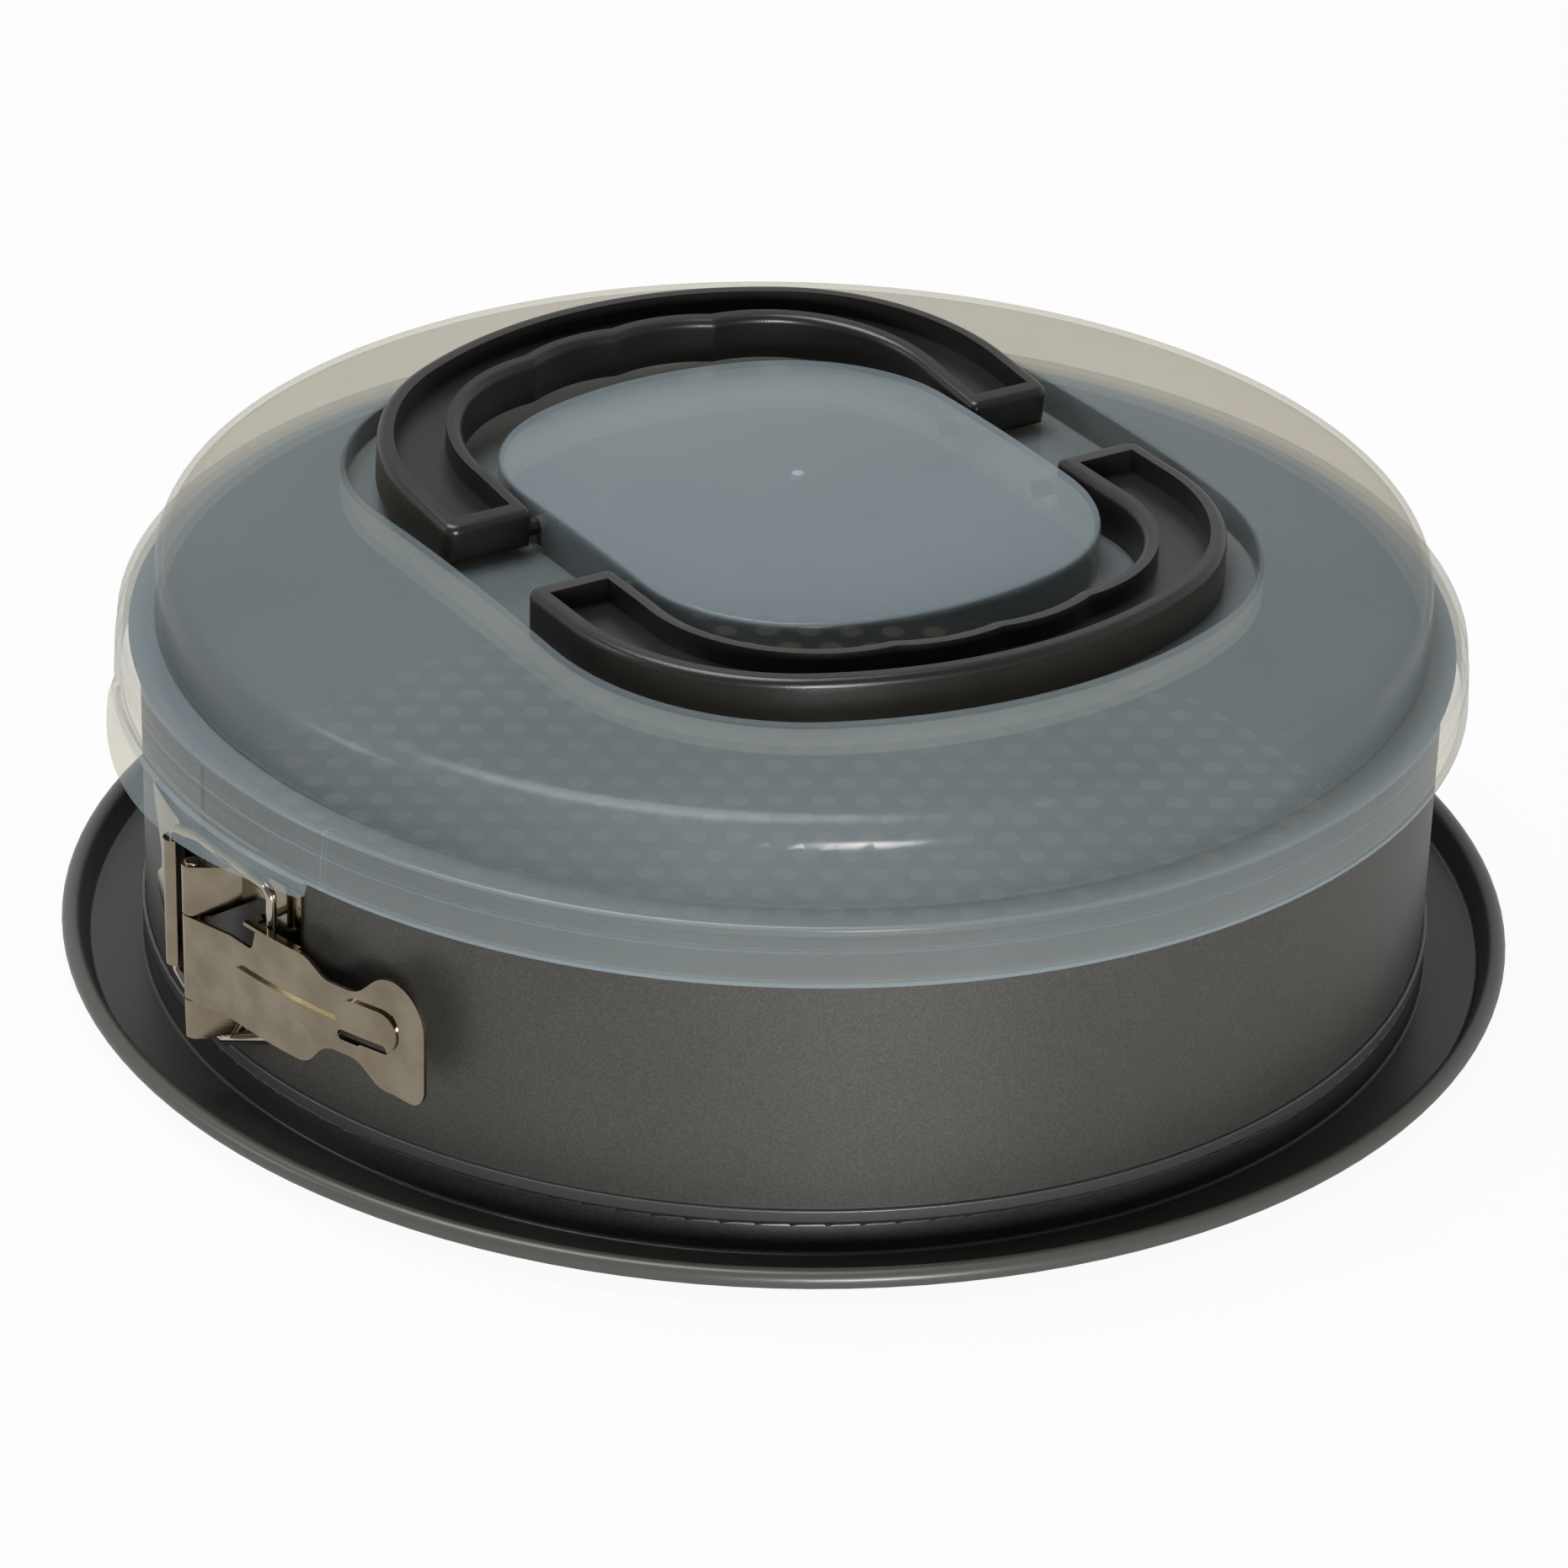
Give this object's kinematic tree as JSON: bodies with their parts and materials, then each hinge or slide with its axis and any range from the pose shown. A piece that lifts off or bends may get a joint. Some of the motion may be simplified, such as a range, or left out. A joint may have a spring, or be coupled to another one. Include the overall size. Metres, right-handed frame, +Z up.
{
  "type": "springform pan with lid",
  "caption": "Round springform cake pan: split ring with toggle latch on a rimmed base tray, and a domed translucent lid with folding handles.",
  "frame": {"origin": "centre of the base tray at the table plane, under the gutter floor", "axes": "+Z up along the pan's axis; +X runs across the lid from the rear handle to the front handle; the latch is near -Y"},
  "size_m": [0.3182, 0.3182, 0.1131],
  "materials": {
    "tray_coating": "satin dark grey non-stick coating on pressed steel",
    "ring_coating": "satin dark grey non-stick coating on rolled steel",
    "latch_steel": "bright pressed steel with a warm nickel tint",
    "wire_steel": "bright drawn steel wire",
    "lid_plastic": "translucent smoky polypropylene, smooth",
    "handle_plastic": "black satin plastic"
  },
  "bodies": {
    "base": {"base_tray": "tray_coating"},
    "ring": {"ring_band": "ring_coating", "hinge_bracket": "latch_steel", "catch_bracket": "latch_steel", "hinge_pin": "latch_steel"},
    "latch_lever": {"lever": "latch_steel"},
    "bail": {"bail_wire": "wire_steel"},
    "lid": {"lid_shell": "lid_plastic"},
    "rear_handle": {"handle_left": "handle_plastic"},
    "front_handle": {"handle_right": "handle_plastic"}
  },
  "joints": [
    {"name": "ring_lift", "type": "slide", "parent": "base", "child": "ring", "axis": [0, 0, 1], "range_m": [0, 0.1]},
    {"name": "lid_lift", "type": "slide", "parent": "ring", "child": "lid", "axis": [0, 0, 1], "range_m": [0, 0.08]},
    {"name": "lever_hinge", "type": "hinge", "parent": "ring", "child": "latch_lever", "pos_m": [0.00592, -0.14848, 0.0344], "axis": [0, 0, -1], "range_deg": [0, 100]},
    {"name": "bail_swing", "type": "hinge", "parent": "ring", "child": "bail", "pos_m": [-0.01012, -0.14465, 0.0384], "axis": [0, 0, -1], "range_deg": [0, 55]},
    {"name": "rear_handle_hinge", "type": "hinge", "parent": "lid", "child": "rear_handle", "pos_m": [-0.01825, 0, 0.1003], "axis": [0, 1, 0], "range_deg": [-6, 84]},
    {"name": "front_handle_hinge", "type": "hinge", "parent": "lid", "child": "front_handle", "pos_m": [0.01825, 0, 0.1003], "axis": [0, -1, 0], "range_deg": [0, 90]}
  ],
  "couplings": [
    {"joint": "bail_swing", "follows": "lever_hinge", "ratio": 0.55}
  ]
}
